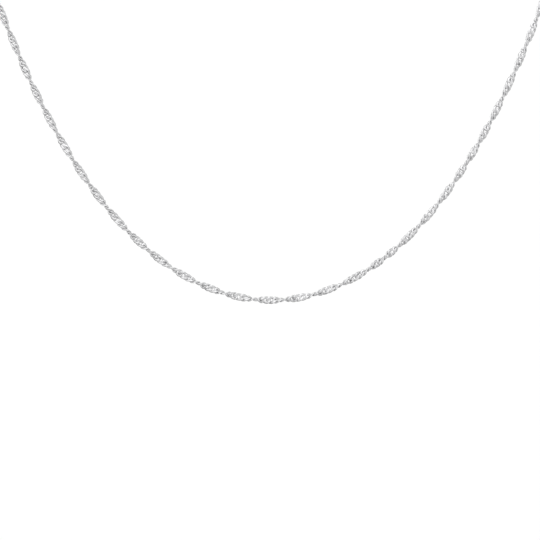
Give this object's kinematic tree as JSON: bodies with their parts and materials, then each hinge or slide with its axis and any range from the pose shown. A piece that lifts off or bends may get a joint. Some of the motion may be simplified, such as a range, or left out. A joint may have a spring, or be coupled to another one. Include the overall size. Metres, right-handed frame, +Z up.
{
  "type": "singapore chain necklace",
  "caption": "Slim necklace of twisted flat curb links that hangs in a smooth curve at the front and closes with a plain ring clasp at the nape.",
  "frame": {"origin": "middle of the neck opening, level with the sides of the neck, where the necklace is worn", "axes": "+Z up, the front of the necklace faces -Y, +X to the right as seen from the front"},
  "size_m": [0.1186, 0.1101, 0.1144],
  "materials": {
    "silver_chain": "polished, diamond-cut flats on the links",
    "silver_clasp": "polished"
  },
  "bodies": {
    "root": {"chain": "silver_chain", "clasp": "silver_clasp", "end_ring_left": "silver_clasp", "end_ring_right": "silver_clasp"}
  },
  "joints": []
}
